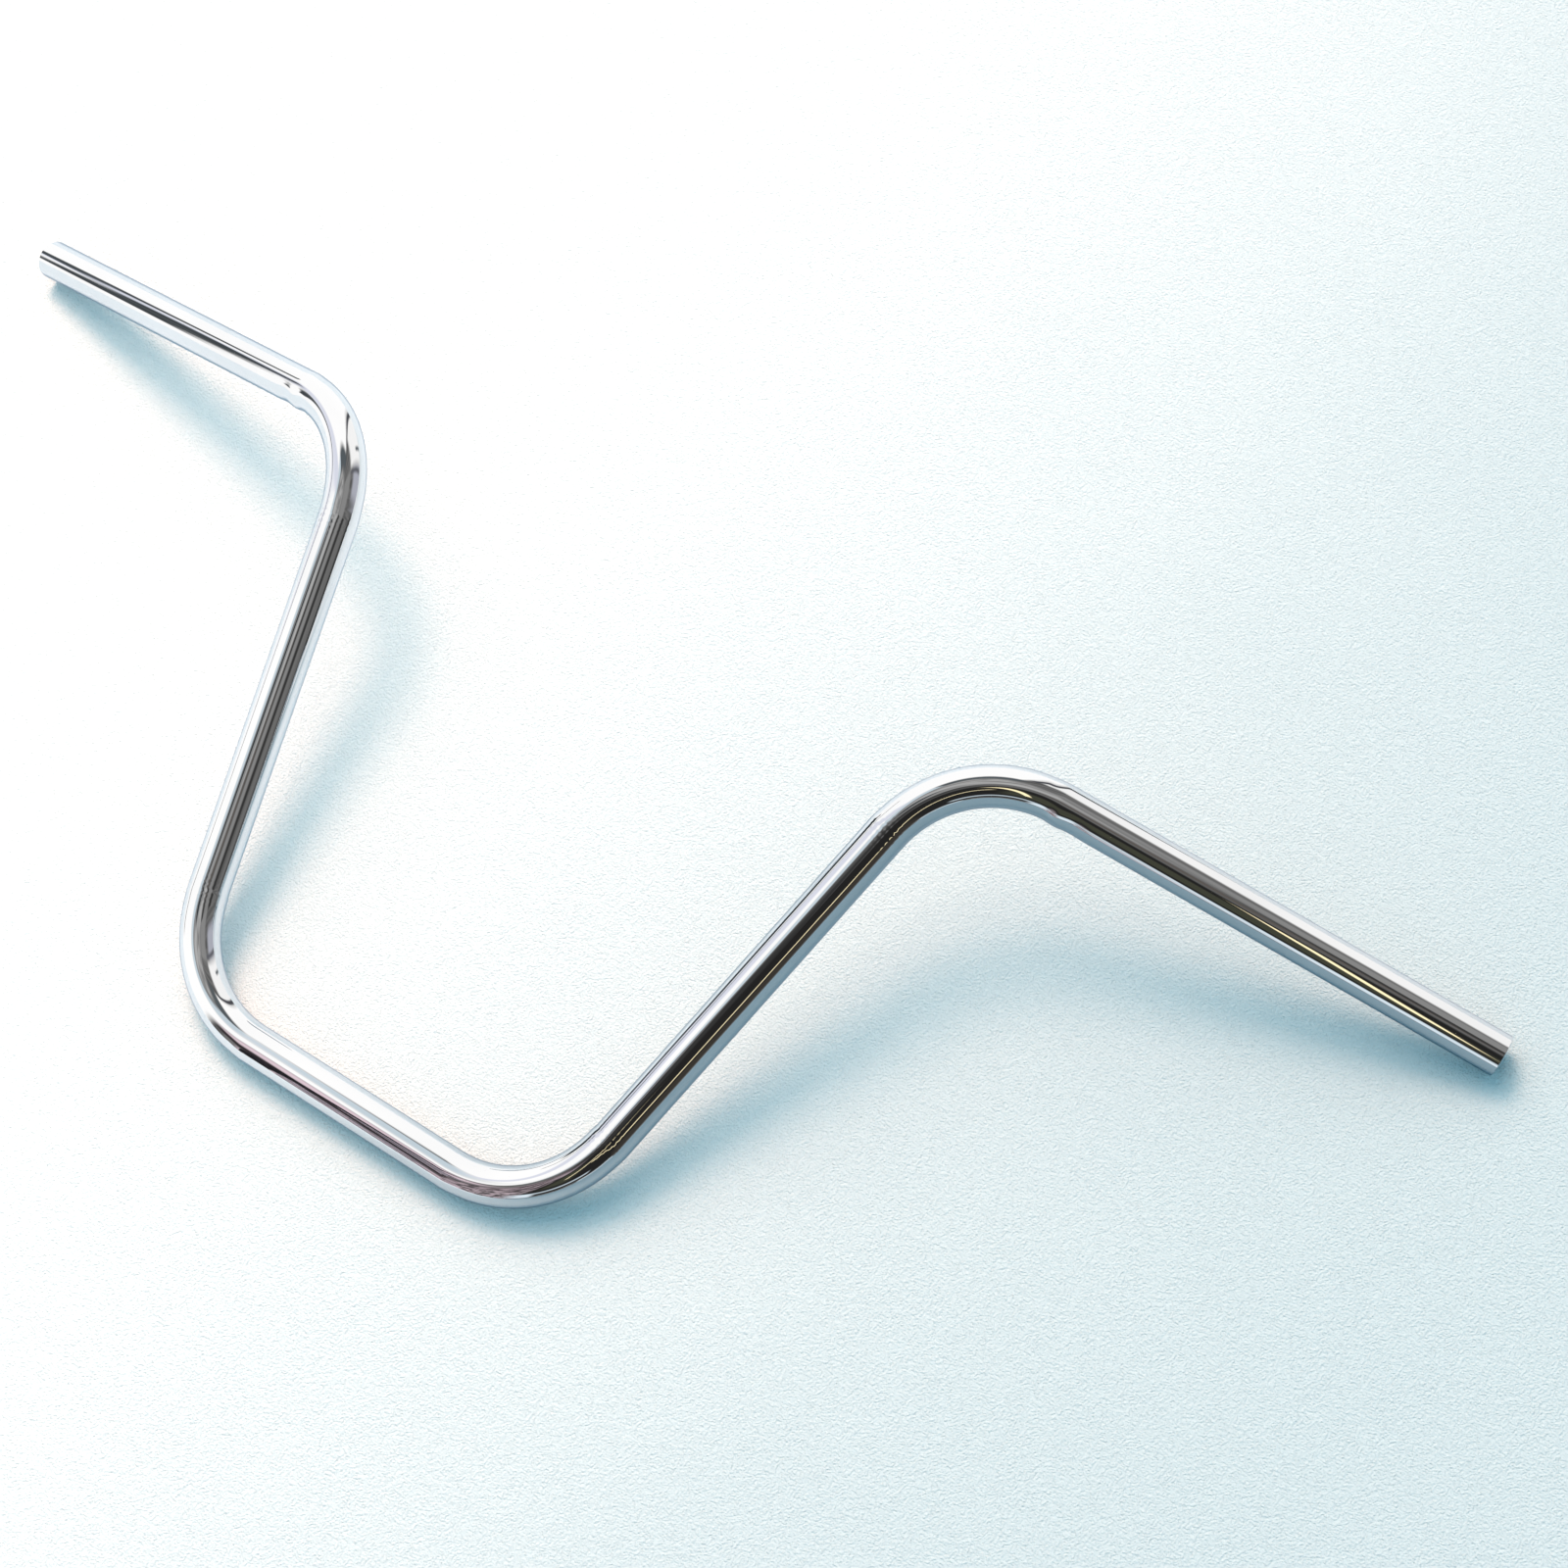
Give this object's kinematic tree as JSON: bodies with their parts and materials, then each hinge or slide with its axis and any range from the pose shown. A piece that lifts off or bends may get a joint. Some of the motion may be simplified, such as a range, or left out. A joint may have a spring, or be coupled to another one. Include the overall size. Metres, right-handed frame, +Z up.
{
  "type": "motorcycle handlebar",
  "caption": "Motorcycle handlebar of bent chromed steel tube: a clamp straight, two tall risers leaning outward and two swept-back grip straights with open ends.",
  "frame": {"origin": "centre of the clamp straight, on the tube's axis", "axes": "+X along the clamp axis towards the right grip; +Y from the clamp towards the tube ends; +Z up from the flat surface the bar rests on, which touches the clamp straight and both tube ends"},
  "size_m": [0.9746, 0.348, 0.0988],
  "materials": {
    "chromed_tube": "polished"
  },
  "bodies": {
    "root": {"clamp_section": "chromed_tube", "lower_bend_left": "chromed_tube", "lower_bend_right": "chromed_tube", "riser_left": "chromed_tube", "riser_right": "chromed_tube", "upper_bend_left": "chromed_tube", "upper_bend_right": "chromed_tube", "grip_section_left": "chromed_tube", "grip_section_right": "chromed_tube"}
  },
  "joints": []
}
